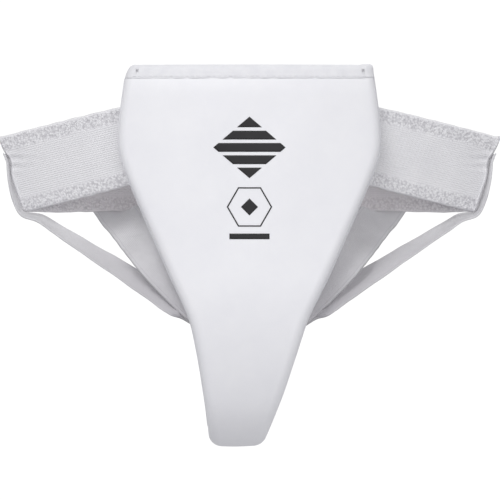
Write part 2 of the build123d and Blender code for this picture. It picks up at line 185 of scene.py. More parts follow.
def lean(z):
    """Sideways lean of the tail."""
    if z > LEAN_START_Z:
        return 0.0
    return -TAIL_LEAN * ((LEAN_START_Z - z) / LEAN_LENGTH) ** 2.6


def corner_ease(x, s):
    """The top corner on the wearer's right draws in a little under the binding."""
    if x > 0:
        return x
    ease = TOP_CORNER * max(0.0, 1 - max(s, 0.0) / TOP_CORNER_LENGTH) ** 2
    return x + ease * (-x / TOP_HALF) ** 3


def place(x, s, total_depth):
    """Point at x across, s along the spine and a depth straight inward."""
    y, z, tilt = spine(s)
    x = corner_ease(x, s)
    return Vector((x + lean(z), y + total_depth * math.cos(tilt), z + total_depth * math.sin(tilt)))


def on_layer(x, s, depth):
    """Point of the curved layer at this depth."""
    return place(x, s, depth + cross_sag(x, depth))


# ---- mesh helpers
THREAD_END = 0.45            # a thread's thickness at its ends, as a share of its middle


class Shape:
    """Points, faces and UVs of one mesh in the making. UVs are in metres."""

    def __init__(self):
        self.points = []
        self.faces = []
        self.uvs = []

    def grid(self, rows, closed=False):
        """Append a grid of (point, uv) rows. closed joins each row's end to its start."""
        base = len(self.points)
        columns = len(rows[0])
        for row in rows:
            self.points += [tuple(point) for point, uv in row]
            self.uvs += [uv for point, uv in row]
        for i in range(len(rows) - 1):
            for j in range(columns if closed else columns - 1):
                k = (j + 1) % columns
                a = base + i * columns
                b = a + columns
                self.faces.append((a + j, a + k, b + k, b + j))

    def solid(self, rows):
        """Append a tube through the rows, with both ends closed."""
        base = len(self.points)
        columns = len(rows[0])
        self.grid(rows, closed=True)
        last = len(self.points) - columns
        self.faces.append(tuple(range(base + columns - 1, base - 1, -1)))
        self.faces.append(tuple(range(last, last + columns)))

    def thread(self, path, radius, sides=6):
        """Append a round thread along a path, thinner at its ends."""
        rows = []
        travelled = 0.0
        last = len(path) - 1
        for i, centre in enumerate(path):
            ahead = (path[min(i + 1, last)] - path[max(i - 1, 0)]).normalized()
            side = ahead.orthogonal().normalized()
            up = ahead.cross(side)
            if i:
                travelled += (centre - path[i - 1]).length
            thin = THREAD_END if i in (0, last) else 1.0
            row = []
            for j in range(sides):
                angle = 2 * math.pi * j / sides
                offset = side * math.cos(angle) + up * math.sin(angle)
                row.append((centre + offset * radius * thin, (travelled, j / sides * radius * 6)))
            rows.append(row)
        self.solid(rows)

    def make(self, name):
        """Mesh object of what has been added."""
        mesh = bpy.data.meshes.new(name)
        mesh.from_pydata(self.points, [], self.faces)
        layer = mesh.uv_layers.new(name="UVMap")
        for loop in mesh.loops:
            layer.data[loop.index].uv = self.uvs[loop.vertex_index]
        mesh.polygons.foreach_set("use_smooth", [True] * len(mesh.polygons))
        mesh.update()
        piece = bpy.data.objects.new(name, mesh)
        bpy.context.scene.collection.objects.link(piece)
        return piece


def face_outwards(piece):
    """Merge doubled points and turn every face outwards."""
    work = bmesh.new()
    work.from_mesh(piece.data)
    bmesh.ops.remove_doubles(work, verts=work.verts, dist=1e-6)
    bmesh.ops.recalc_face_normals(work, faces=work.faces)
    work.to_mesh(piece.data)
    work.free()


def finish_piece(piece, material, body, node):
    """Material and body of a piece that replaces one CAD node, whose part is hidden."""
    piece.data.materials.append(material)
    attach(piece, body)
    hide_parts(node)


def shaped(shape, name, material, node):
    """Closed piece of the shield from a finished shape."""
    piece = shape.make(name)
    face_outwards(piece)
    finish_piece(piece, material, "root", node)
    return piece


# ---- smooth noise for the shapes
NOISE = random.Random(4)
WAVES = [(NOISE.uniform(0.5, 1.6), NOISE.uniform(0, 6.28), NOISE.uniform(-1, 1)) for _ in range(9)]


def ripple(u, v, length):
    """Gentle irregular wave between about -1 and 1, with the given wavelength."""
    total = 0.0
    for rate, phase, skew in WAVES:
        total += math.sin(2 * math.pi * (u * rate + v * skew) / length + phase)
    return total / 4.0


# ---- node materials
class Nodes:
    """Short way of writing a node tree."""

    def __init__(self, name):
        self.material = bpy.data.materials.new(name)
        self.material.use_nodes = True
        self.tree = self.material.node_tree
        self.shader = self.tree.nodes["Principled BSDF"]

    def add(self, kind, **settings):
        node = self.tree.nodes.new(kind)
        for key, value in settings.items():
            setattr(node, key, value)
        return node

    def link(self, source, target):
        self.tree.links.new(source, target)

    def put(self, socket, value):
        if hasattr(value, "is_output"):
            self.link(value, socket)
        else:
            socket.default_value = (*value, 1.0) if isinstance(value, tuple) else value

    def fill(self, node, values):
        for name, value in values.items():
            self.put(node.inputs[name], value)

    def math(self, operation, a, b=0.0, c=0.0):
        node = self.add("ShaderNodeMath", operation=operation)
        for socket, value in zip(node.inputs, (a, b, c)):
            self.put(socket, value)
        return node.outputs[0]

    def times(self, a, b):
        return self.math("MULTIPLY", a, b)

    def plus(self, a, b):
        return self.math("ADD", a, b)

    def times_plus(self, a, b, c):
        return self.math("MULTIPLY_ADD", a, b, c)

    def wave(self, value, pitch):
        """Sine wave with this distance from crest to crest."""
        return self.math("SINE", self.times(value, 2 * math.pi / pitch))

    def coords(self, use_uv=False):
        node = self.add("ShaderNodeTexCoord")
        return node.outputs["UV" if use_uv else "Object"]

    def axes(self, vector):
        node = self.add("ShaderNodeSeparateXYZ")
        self.link(vector, node.inputs[0])
        return node.outputs

    def noise(self, vector, scale, detail=3.0, roughness=0.5, distortion=0.0):
        node = self.add("ShaderNodeTexNoise")
        values = {"Scale": scale, "Detail": detail, "Roughness": roughness, "Distortion": distortion}
        self.fill(node, {"Vector": vector, **values})
        return node.outputs["Fac"]

    def voronoi(self, vector, scale):
        node = self.add("ShaderNodeTexVoronoi")
        self.fill(node, {"Vector": vector, "Scale": scale})
        return node.outputs["Distance"]

    def spread(self, value, low, high, to_low, to_high):
        node = self.add("ShaderNodeMapRange")
        values = {"From Min": low, "From Max": high, "To Min": to_low, "To Max": to_high}
        self.fill(node, {"Value": value, **values})
        return node.outputs["Result"]

    def blend_colours(self, factor, first, second):
        node = self.add("ShaderNodeMix", data_type="RGBA")
        self.fill(node, {"Factor": factor, "A": first, "B": second})
        return node.outputs["Result"]

    def tint(self, tone, first, second, low=0.3, high=0.7):
        """Blend of two colours as tone goes from low to high."""
        return self.blend_colours(self.spread(tone, low, high, 0.0, 1.0), first, second)

    def bump(self, height, strength, distance, below=None):
        node = self.add("ShaderNodeBump")
        self.fill(node, {"Strength": strength, "Distance": distance, "Height": height})
        if below is not None:
            self.link(below, node.inputs["Normal"])
        return node.outputs["Normal"]

    def surface(self, colour, roughness, normal=None, sheen=0.0, specular=0.5):
        self.fill(self.shader, {"Base Color": colour, "Roughness": roughness})
        if normal is not None:
            self.link(normal, self.shader.inputs["Normal"])
        self.shader.inputs["Sheen Weight"].default_value = sheen
        self.shader.inputs["Specular IOR Level"].default_value = specular
        return self.material


def cover_material():
    """Smooth synthetic leather: fine pebble grain, faint creases, slight handling marks."""
    n = Nodes("cover_pu")
    at = n.coords()
    grain = n.voronoi(at, 1500.0)
    fine = n.noise(at, 2600.0, 4.0, 0.6)
    broad = n.noise(at, 22.0, 3.0, 0.55)
    marks = n.noise(at, 70.0, 5.0, 0.65, 0.6)
    tone = n.times_plus(broad, 0.6, n.times(marks, 0.4))
    colour = n.tint(tone, (0.86, 0.86, 0.895), (0.91, 0.91, 0.935), high=0.75)
    rough = n.spread(n.plus(marks, n.times(fine, 0.4)), 0.4, 1.0, 0.43, 0.56)
    height = n.times_plus(fine, 0.5, grain)
    normal = n.bump(height, 0.18, 0.00012)
    normal = n.bump(broad, 0.12, 0.0012, normal)
    return n.surface(colour, rough, normal, specular=0.42)


def binding_material():
    """Folded woven tape with a fine diagonal rib."""
    n = Nodes("binding_tape")
    u, v, _ = n.axes(n.coords(use_uv=True))
    rib = n.wave(n.plus(u, v), 0.0008)
    across = n.wave(v, 0.0005)
    height = n.times_plus(rib, 0.6, n.times(across, 0.3))
    fuzz = n.noise(n.coords(), 1800.0, 3.0, 0.6)
    tone = n.noise(n.coords(), 120.0, 4.0, 0.6)
    colour = n.tint(tone, (0.80, 0.80, 0.835), (0.86, 0.86, 0.885))
    rough = n.spread(fuzz, 0.3, 0.7, 0.62, 0.8)
    normal = n.bump(height, 0.35, 0.0002)
    normal = n.bump(fuzz, 0.25, 0.0002, normal)
    return n.surface(colour, rough, normal, sheen=0.25, specular=0.3)


def waist_material():
    """Wide knitted elastic: pebbled bands along both edges and a finely ribbed middle."""
    n = Nodes("waist_elastic")
    u, v, _ = n.axes(n.coords(use_uv=True))
    at = n.coords()
    rib = n.wave(v, 0.0016)
    picks = n.wave(u, 0.0011)
    knit = n.times_plus(picks, 0.5, n.times(rib, 0.8))
    from_middle = n.math("ABSOLUTE", v)
    edge_zone = n.spread(from_middle, 0.0175, 0.0205, 0.0, 1.0)
    pebble = n.spread(n.voronoi(at, 560.0), 0.0, 0.7, 1.0, -0.8)
    pebble = n.plus(pebble, n.spread(n.noise(at, 430.0, 4.0, 0.7), 0.3, 0.7, -0.8, 0.8))
    selvedge = n.spread(from_middle, 0.0283, 0.0290, 0.0, 1.0)
    middle = n.times(knit, n.math("SUBTRACT", 1.0, edge_zone))
    zone = n.times(edge_zone, n.math("SUBTRACT", 1.0, n.times(selvedge, 0.8)))
    height = n.times_plus(pebble, n.times(zone, 1.6), middle)
    # painted shade in the pebbles' hollows and painted highlight on their tops, following the pebble
    # height in the edge bands
    pebble_shade_and_highlight = n.times(n.spread(pebble, -1.0, 1.2, -1.0, 1.0), zone)
    tone = n.noise(at, 45.0, 4.0, 0.6)
    colour = n.tint(tone, (0.815, 0.81, 0.835), (0.86, 0.855, 0.875))
    pebble_hollow_shade = n.math("MAXIMUM", n.times(pebble_shade_and_highlight, -0.8), 0.0)
    # painted highlight on the pebble tops
    light = n.math("MAXIMUM", n.times(pebble_shade_and_highlight, 0.9), 0.0)
    shade = n.blend_colours(pebble_hollow_shade, colour, (0.52, 0.51, 0.54))
    shade = n.blend_colours(light, shade, (0.90, 0.90, 0.92))
    # painted shade in the rib grooves of the middle, where the knit height is low
    shade = n.blend_colours(n.spread(middle, -1.0, 0.2, 0.22, 0.0), shade, (0.6, 0.6, 0.64))
    # painted shade, tinted warm, darkening the back band behind the wings
    back_band_painted_shade = n.spread(n.axes(at)[1], -0.006, 0.006, 0.0, 0.42)
    shade = n.blend_colours(back_band_painted_shade, shade, (0.66, 0.60, 0.61))
    fuzz = n.noise(at, 2200.0, 3.0, 0.6)
    rough = n.spread(n.plus(fuzz, n.times(tone, 0.3)), 0.4, 0.9, 0.72, 0.92)
    normal = n.bump(height, 0.5, 0.00035)
    normal = n.bump(fuzz, 0.3, 0.0002, normal)
    return n.surface(shade, rough, normal, sheen=0.35, specular=0.25)


def strap_material():
    """Narrow woven elastic with fine cords along it and a selvedge groove near each edge, with painted
    shade along the groove.
    """
    n = Nodes("strap_elastic")
    u, v, _ = n.axes(n.coords(use_uv=True))
    at = n.coords()
    cords = n.wave(v, 0.0012)
    weave = n.times(n.wave(u, 0.0009), n.wave(v, 0.0012))
    from_middle = n.math("ABSOLUTE", v)
    groove = n.math("ABSOLUTE", n.math("SUBTRACT", from_middle, 0.0122))
    groove = n.spread(groove, 0.0, 0.00045, -1.6, 0.0)
    height = n.plus(n.times_plus(weave, 0.7, n.times(cords, 0.5)), groove)
    tone = n.noise(at, 60.0, 4.0, 0.6)
    colour = n.tint(tone, (0.66, 0.655, 0.675), (0.73, 0.725, 0.745))
    # painted shade: the strap's colour darkens towards its lower, shield end
    shield_end_painted_shade = n.spread(u, 0.05, 0.16, 0.0, 0.55)
    colour = n.blend_colours(shield_end_painted_shade, colour, (0.49, 0.47, 0.50))
    # painted shade along the selvedge grooves
    line = n.spread(groove, -1.2, 0.0, 0.35, 0.0)
    colour = n.blend_colours(line, colour, (0.50, 0.49, 0.54))
    fuzz = n.noise(at, 2000.0, 3.0, 0.6)
    rough = n.spread(fuzz, 0.3, 0.7, 0.62, 0.82)
    normal = n.bump(height, 0.45, 0.00025)
    normal = n.bump(fuzz, 0.2, 0.0002, normal)
    return n.surface(colour, rough, normal, sheen=0.3, specular=0.3)


def lining_material(name, low, high):
    """Knitted mesh lining with rows of small holes."""
    n = Nodes(name)
    at = n.coords()
    x, _, z = n.axes(at)
    holes = n.times(n.wave(x, 0.0021), n.wave(z, 0.0021))
    fuzz = n.noise(at, 1500.0, 4.0, 0.65)
    tone = n.noise(at, 35.0, 4.0, 0.6)
    depth = n.spread(holes, 0.35, 0.85, 0.0, 1.0)
    base = n.tint(tone, low, high)
    # painted shade inside the mesh holes
    colour = n.blend_colours(n.times(depth, 0.45), base, (0.42, 0.42, 0.45))
    height = n.math("SUBTRACT", n.times(fuzz, 0.5), depth)
    rough = n.spread(fuzz, 0.3, 0.7, 0.78, 0.95)
    return n.surface(colour, rough, n.bump(height, 0.5, 0.0005), sheen=0.35, specular=0.2)


def foam_material():
    """Closed-cell foam."""
    n = Nodes("closed_cell_foam")
    at = n.coords()
    cells = n.voronoi(at, 1100.0)
    tone = n.noise(at, 40.0, 4.0, 0.6)
    colour = n.tint(tone, (0.74, 0.74, 0.72), (0.82, 0.82, 0.80))
    rough = n.spread(cells, 0.0, 0.6, 0.75, 0.92)
    return n.surface(colour, rough, n.bump(cells, 0.4, 0.0003), specular=0.3)


def insert_material():
    """Moulded polyethylene: soft gloss, faint flow marks and small scratches."""
    n = Nodes("insert_polyethylene")
    at = n.coords()
    flow = n.noise(at, 30.0, 3.0, 0.5, 1.2)
    skin = n.noise(at, 900.0, 4.0, 0.6)
    scratches = n.noise(at, 260.0, 6.0, 0.75, 2.0)
    colour = n.tint(flow, (0.80, 0.81, 0.82), (0.86, 0.87, 0.875))
    rough = n.spread(n.plus(skin, scratches), 0.7, 1.3, 0.32, 0.5)
    normal = n.bump(skin, 0.15, 0.0002)
    normal = n.bump(scratches, 0.1, 0.0002, normal)
    n.shader.inputs["Subsurface Weight"].default_value = 0.12
    n.shader.inputs["Subsurface Radius"].default_value = (0.004, 0.004, 0.004)
    return n.surface(colour, rough, normal, specular=0.45)


def rim_material():
    """Soft grey rubber."""
    n = Nodes("soft_rim")
    at = n.coords()
    skin = n.noise(at, 700.0, 5.0, 0.65)
    dust = n.noise(at, 60.0, 4.0, 0.6)
    colour = n.tint(dust, (0.33, 0.34, 0.36), (0.43, 0.44, 0.46), low=0.35)
    rough = n.spread(skin, 0.3, 0.7, 0.6, 0.8)
    return n.surface(colour, rough, n.bump(skin, 0.3, 0.0002), specular=0.35)


def thread_material():
    """Twisted polyester thread."""
    n = Nodes("thread")
    u, v, _ = n.axes(n.coords(use_uv=True))
    twist = n.math("SINE", n.times_plus(u, 2 * math.pi / 0.0005, n.times(v, 5000.0)))
    tone = n.noise(n.coords(), 400.0, 3.0, 0.6)
    colour = n.tint(tone, (0.72, 0.72, 0.75), (0.82, 0.82, 0.85))
    rough = n.spread(tone, 0.3, 0.7, 0.5, 0.65)
    return n.surface(colour, rough, n.bump(twist, 0.5, 0.0001), sheen=0.2, specular=0.4)


def ink_material():
    """Black screen print: slight pinholes and a soft satin skin."""
    n = Nodes("screen_print")
    at = n.coords()
    pinholes = n.noise(at, 1600.0, 4.0, 0.7)
    cloud = n.noise(at, 90.0, 4.0, 0.6)
    holes = n.spread(pinholes, 0.66, 0.78, 0.0, 0.25)
    colour = n.blend_colours(holes, (0.016, 0.015, 0.017), (0.11, 0.11, 0.12))
    rough = n.spread(n.plus(pinholes, cloud), 0.7, 1.3, 0.36, 0.52)
    return n.surface(colour, rough, n.bump(pinholes, 0.2, 0.0001), specular=0.4)


def label_material():
    """Blank satin label."""
    n = Nodes("blank_label")
    z = n.axes(n.coords())[2]
    satin = n.wave(z, 0.0004)
    tone = n.noise(n.coords(), 150.0, 4.0, 0.6)
    colour = n.tint(tone, (0.83, 0.83, 0.84), (0.89, 0.89, 0.89))
    rough = n.spread(tone, 0.3, 0.7, 0.38, 0.5)
    return n.surface(colour, rough, n.bump(satin, 0.2, 0.0001), sheen=0.2, specular=0.5)


COVER_PU = cover_material()
BINDING_TAPE = binding_material()
WAIST_ELASTIC = waist_material()
STRAP_ELASTIC = strap_material()
LINING = lining_material("rear_lining_knit", (0.74, 0.74, 0.76), (0.81, 0.81, 0.83))
FOAM = foam_material()
INSERT = insert_material()
RIM = rim_material()
THREAD = thread_material()
INK = ink_material()
LABEL = label_material()


# ---- shield cover
COVER_ROWS = 120
SWELL = 0.35 * MM
SWELL_PITCH = 90.0 * MM
FRONT_COLUMNS = 72
CORNER_COLUMNS = 9
WALL_COLUMNS = 5


def section_outline(s, outset=0.0, back_depth=PAD_BACK):
    """Points (x, depth) of the padded skin: side wall, rounded corner, face, corner, side wall."""
    front = face_roll(s) - outset
    half = edge_half(s) + outset
    room = back_depth - front
    rounding = min(EDGE_ROUND + outset, room * 0.85, half * 0.9)
    radius = CROSS_RADIUS + outset
    centre_depth = front + radius
    run = half - rounding
    corner_depth = centre_depth - math.sqrt((radius - rounding) ** 2 - run ** 2)
    lean_angle = math.asin(run / (radius - rounding))
    back = back_depth + cross_sag(half, back_depth)
    wall = []
    for i in range(WALL_COLUMNS):
        wall.append((half, back + (corner_depth - back) * i / WALL_COLUMNS))
    corner = []
    for i in range(CORNER_COLUMNS):
        angle = math.pi / 2 + (lean_angle - math.pi / 2) * i / CORNER_COLUMNS
        corner.append((run + rounding * math.sin(angle), corner_depth - rounding * math.cos(angle)))
    front_points = []
    for i in range(FRONT_COLUMNS + 1):
        angle = lean_angle * (1 - 2 * i / FRONT_COLUMNS)
        front_points.append((radius * math.sin(angle), centre_depth - radius * math.cos(angle)))
    side = wall + corner
    return side + front_points + [(-x, d) for x, d in reversed(side)]


def cover_rows(first=0.0):
    """Stations along the spine, close together at the tail's rolled end."""
    rows = []
    for i in range(COVER_ROWS + 1):
        t = i / COVER_ROWS
        rows.append(first + (SPINE_LENGTH - EDGE_ROUND - first) * t)
    for i in range(1, 11):
        angle = math.pi / 2 * i / 10
        rows.append(SPINE_LENGTH - EDGE_ROUND * (1 - math.sin(angle)))
    return rows


def swell(x, s):
    """Slow unevenness of the padded face, none at the top edge."""
    return SWELL * ripple(x, s, SWELL_PITCH) * min(1.0, s / 0.03)


def pucker(x, s):
    """Small dents where the top binding's stitches pull the face."""
    fade = math.exp(-max(s - MOUTH_BINDING, 0.0) / 0.006)
    return 0.00022 * fade * ripple(x, s, 0.016)


def make_cover():
    shape = Shape()
    rows = []
    for s in cover_rows():
        row = []
        outline = section_outline(s)
        travelled = 0.0
        last = outline[0]
        for x, depth in outline:
            travelled += math.hypot(x - last[0], depth - last[1])
            last = (x, depth)
            row.append((place(x, s, depth + swell(x, s) + pucker(x, s)), (travelled, s)))
        rows.append(row)
    shape.grid(rows)
    shape.faces.append(tuple(range(len(shape.points) - len(rows[0]), len(shape.points))))
    cover = shaped(shape, "face_cover_skin", COVER_PU, "face_cover")


# ---- layers inside the cover
LAYER_PLAY = 0.1 * MM
INNER_START = 0.8 * MM
INNER_END = SPINE_LENGTH - 6.0 * MM
ARC_COLUMNS = 24


def arc(half, depth, columns=ARC_COLUMNS):
    """Points (x, depth) across a layer, from -half to half."""
    row = []
    for j in range(columns + 1):
        x = half * (2 * j / columns - 1)
        row.append((x, depth + cross_sag(x, depth)))
    return row


def make_block(name, section_at, marks, material, node):
    """Closed block lofted through sections of (x, total depth) points."""
    shape = Shape()
    shape.solid([[(place(x, s, depth), (x, s)) for x, depth in section_at(s)] for s in marks])
    return shaped(shape, name, material, node)


def foam_section(s):
    inset = COVER + LAYER_PLAY
    return section_outline(s, -inset, FOAM_BACK) + arc(edge_half(s) - inset, FOAM_BACK)[1:-1]


def lining_section(s):
    half = edge_half(s) - COVER - LAYER_PLAY
    return arc(half, FOAM_BACK + 0.02 * MM) + arc(half, POCKET_FRONT)[::-1]


def rear_pad_section(s):
    """Rear pad: full width behind, with the pocket's hollow in front of it where there is one."""
    half = edge_half(s) - COVER - LAYER_PLAY
    if s < STRAIGHT:
        hollow = half_width(spine(s)[1]) - POCKET_MARGIN
        floor = POCKET_BACK
    else:
        hollow = half * 0.8
        floor = POCKET_FRONT + 0.1 * MM
    wall = [(x, POCKET_FRONT + cross_sag(x, POCKET_FRONT)) for x in (half, hollow)]
    left = [(-x, depth) for x, depth in wall]
    return left + arc(hollow, floor) + wall[::-1] + arc(half, PAD_BACK - LAYER_PLAY)[::-1]


def cut_area(first, last, inset):
    """Flat area of a layer's cut shape between two places on the spine."""
    steps = 200
    length = (last - first) / steps
    return sum(2 * (edge_half(first + length * (i + 0.5)) - inset) * length for i in range(steps))


def block_marks(first, extra=()):
    """Places along the spine of an inner layer's sections."""
    marks = [first + (INNER_END - first) * i / 60 for i in range(61)]
    return sorted(marks + list(extra))


def make_inner_layers():
    foam = make_block("face_foam_block", foam_section, block_marks(INNER_START), FOAM, "face_foam")
    lining_start = MOUTH_BINDING + 2 * LAYER_PLAY
    marks = block_marks(lining_start)
    lining = make_block("pocket_lining_knit", lining_section, marks, LINING, "pocket_lining")
    cut_area(lining_start, INNER_END, COVER)
    marks = block_marks(INNER_START, [STRAIGHT - LAYER_PLAY, STRAIGHT + LAYER_PLAY])
    pad = make_block("rear_pad_block", rear_pad_section, marks, FOAM, "rear_pad")


def make_rear_lining():
    """Knitted lining over the rear pad, slightly puffed between its bound edges."""
    shape = Shape()
    rows = []
    count = 90
    columns = 48
    inset = 4.0 * MM
    edge_zone = 0.02
    end = SPINE_LENGTH - inset
    for i in range(count + 1):
        s = end * i / count
        half = edge_half(s) - inset
        row = []
        for j in range(columns + 1):
            x = half * (2 * j / columns - 1)
            inward = min((half - abs(x)) / edge_zone, (end - s) / edge_zone + 0.1, 1.0)
            puff = 0.0011 * math.sin(max(inward, 0.0) * math.pi / 2) * (1 if abs(x) < 0.066 else 0.4)
            wave = 0.00025 * ripple(x, s, 0.05) * max(inward, 0.0)
            row.append((on_layer(x, s, LINING_BACK + puff + wave), (x, s)))
        rows.append(row)
    shape.grid(rows)
    lining = shape.make("rear_lining_knit")
    thicken(lining, 0.0008, offset=-1)
    finish_piece(lining, LINING, "root", "rear_lining")
    area = cut_area(0.0, end, inset)


def thicken(piece, thickness, offset=0):
    """Give a sheet its thickness. offset -1 puts it all on one side."""
    modifier = piece.modifiers.new("thickness", "SOLIDIFY")
    modifier.thickness = thickness
    modifier.offset = offset


# ---- bindings
def make_rear_binding():
    """Tape folded over the rear edge all the way round, closed at the top by the mouth tapes."""
    shape = Shape()
    outline = tape_outline()
    places = [(s, 1.0) for s in side_marks()]
    places += [(SPINE_LENGTH, share) for share in (0.66, 0.33, 0.0, -0.33, -0.66)]
    places += [(s, -1.0) for s in reversed(side_marks())]
    rows = []
    travelled = 0.0
    for index, (s, side) in enumerate(places):
        out_x, out_s = outward(places, index)
        row = []
        around = 0.0
        last = outline[0]
        for out, depth in outline:
            around += math.dist((out, depth), last)
            last = (out, depth)
            wave = 0.00012 * ripple(travelled, out, 0.012)
            x = edge_half(s) * side + out_x * out
            row.append((on_layer_outside(x, s + out_s * out, depth + wave), (travelled, around)))
        if rows:
            travelled += (row[0][0] - rows[-1][0][0]).length
        rows.append(row)
    shape.solid(rows)
    shaped(shape, "rear_binding_tape", BINDING_TAPE, "rear_binding")


def outward(places, index):
    """Direction (across, along the spine) out of the shield's edge at one of its places."""
    side = places[index][1]
    before = places[max(index - 1, 0)]
    after = places[min(index + 1, len(places) - 1)]
    dx = edge_half(after[0]) * after[1] - edge_half(before[0]) * before[1]
    ds = after[0] - before[0]
    length = math.hypot(dx, ds) or 1.0
    if -ds * side < 0 or (abs(side) < 1 and dx < 0):
        length = -length
    return -ds / length, dx / length


def side_marks():
    marks = [(SPINE_LENGTH - TAIL_CORNER) * i / 60 for i in range(60)]
    for i in range(11):
        angle = math.pi / 2 * i / 10
        marks.append(SPINE_LENGTH - TAIL_CORNER * (1 - math.sin(angle)))
    return marks


def tape_outline():
    """Closed section of the rear tape as (outward offset, depth): round the corner of the edge."""
    outer = [(0.75, 14.2), (1.0, 14.8), (1.05, 17.0), (1.0, 19.0), (0.7, 20.0), (0.1, 20.45)]
    outer += [(-2.5, 20.5), (-6.5, 20.5), (-8.6, 20.45), (-9.0, 20.2)]
    inner = [(-8.9, 19.45), (-3.0, 19.4), (-0.2, 18.9), (0.0, 14.4)]
    return [(out * MM, depth * MM) for out, depth in outer + inner]


def on_layer_outside(x, s, depth):
    """Like on_layer, but also a little past the shield's edges and its end."""
    extra = max(s - SPINE_LENGTH, 0.0)
    tilt = spine(SPINE_LENGTH)[2]
    return on_layer(x, s - extra, depth) + Vector((0.0, math.sin(tilt), -math.cos(tilt))) * extra


def make_front_mouth_binding():
    """Tape folded over the face's top edge and round both top corners."""
    shape = Shape()
    rows = []
    outline = section_outline(0.0)
    travelled = 0.0
    for index, (x, depth) in enumerate(outline):
        out_x, out_depth = skin_normal(outline, index)
        travelled += math.dist(outline[index], outline[max(index - 1, 0)])
        row = []
        around = 0.0
        for lift, drop, toward in mouth_tape_outline():
            drift_x, drift_depth = skin_shift(index, drop)
            px = x + drift_x + out_x * lift
            pd = depth + drift_depth + out_depth * lift
            if toward:
                px, pd = inner_lip(px, pd, x, toward)
            point = place(px, drop, pd + 0.00018 * ripple(travelled, drop, 0.011))
            point += Vector((0, 0, corner_lift(x)))
            if row:
                around += (point - row[-1][0]).length
            row.append((point, (travelled, around)))
        rows.append(row)
    shape.solid(rows)
    shaped(shape, "mouth_binding_front_tape", BINDING_TAPE, "mouth_binding_front")


def skin_normal(outline, index):
    """Direction (across, depth) out of the skin: sideways on the walls, forwards on the face."""
    before = outline[max(index - 1, 0)]
    after = outline[min(index + 1, len(outline) - 1)]
    dx = after[0] - before[0]
    dd = after[1] - before[1]
    length = math.hypot(dx, dd) or 1.0
    x = outline[index][0]
    if (dd * x < 0 and abs(x) > 0.02) or (abs(x) <= 0.02 and dx < 0):
        length = -length
    return dd / length, -dx / length


def skin_shift(index, s):
    """How far the cover's skin has moved from its place at the top edge, at s down the spine."""
    top = section_outline(0.0)[index]
    here = section_outline(max(s, 0.0))[index]
    return here[0] - top[0], here[1] - top[1]


def inner_lip(px, pd, x, toward):
    """Pull a point of the tape towards the pocket side of the lip."""
    half_mouth = half_width(TOP_Z) - POCKET_MARGIN
    target_x = max(-half_mouth, min(half_mouth, x))
    target_d = POCKET_FRONT + cross_sag(target_x, POCKET_FRONT)
    if abs(x) > half_mouth and pd > target_d:
        target_d = min(pd, POCKET_BACK + cross_sag(target_x, POCKET_BACK))
    return px + (target_x - px) * toward, pd + (target_d - pd) * toward


def corner_lift(x):
    """The tape stands up a little at the corners, more at the wearer's left."""
    edge = max(0.0, (abs(x) - 0.072) / 0.02)
    return (0.0011 if x > 0 else 0.0003) * min(edge, 1.0) ** 2


def mouth_tape_outline():
    """(lift off the skin, drop below the top edge, pull towards the pocket) round the tape."""
    h = MOUTH_BINDING / MM
    outer = [(0.12, h, 0), (0.42, h - 0.35, 0), (0.55, h - 1.4, 0), (0.42, h - 2.4, 0)]
    outer += [(0.8, h - 4.2, 0), (0.95, 2.9, 0), (0.8, 1.2, 0), (0.45, 0.2, 0)]
    top = [(0, -0.5, 0.12), (0, -0.65, 0.4), (0, -0.6, 0.7), (0, -0.2, 0.95)]
    inner = [(0, 0.4, 1), (0, h / 2, 1), (0, h, 1)]
    back = [(0, h, 0.82), (0, 1.0, 0.8), (-0.1, 0.6, 0.1), (0, h / 2, 0)]
    return [(lift * MM, drop * MM, pull) for lift, drop, pull in outer + top + inner + back]


def make_rear_mouth_binding():
    """Tape over the rear lip of the pocket mouth."""
    shape = Shape()
    rows = []
    half = half_width(TOP_Z) - 1.5 * MM
    columns = 60
    h = MOUTH_BINDING / MM
    outline = [(21.0, h), (21.3, h - 0.3), (21.4, h * 0.6), (21.3, 1.0), (20.9, -0.2), (20.0, -0.9)]
    outline += [(18.0, -1.15), (16.4, -0.95), (15.4, -0.3), (15.05, 0.8), (15.05, h), (15.8, h)]
    outline += [(15.9, 1.2), (20.2, 1.0), (20.4, h)]
    for j in range(columns + 1):
        x = half * (2 * j / columns - 1)
        row = []
        around = 0.0
        for depth, drop in outline:
            wave = 0.00015 * ripple(x, drop * MM, 0.012)
            row.append((on_layer(x, drop * MM, depth * MM + wave), (x, around)))
            around += 0.0015
        rows.append(row)
    shape.solid(rows)
    shaped(shape, "mouth_binding_back_tape", BINDING_TAPE, "mouth_binding_back")


# ---- elastics
def slanted(degrees_out):
    """Upright width vector of the left wing, leaning outward."""
    lean_angle = math.radians(degrees_out)
    return Vector((-math.sin(lean_angle), 0, math.cos(lean_angle)))


def back_band_y(x):
    """Depth of the back band's middle, which bows backward."""
    bow = 1 - (x / FOLD_X) ** 2
    return FOLD_Y + FOLD_RADIUS + (BACK_BOW - FOLD_Y - FOLD_RADIUS) * bow


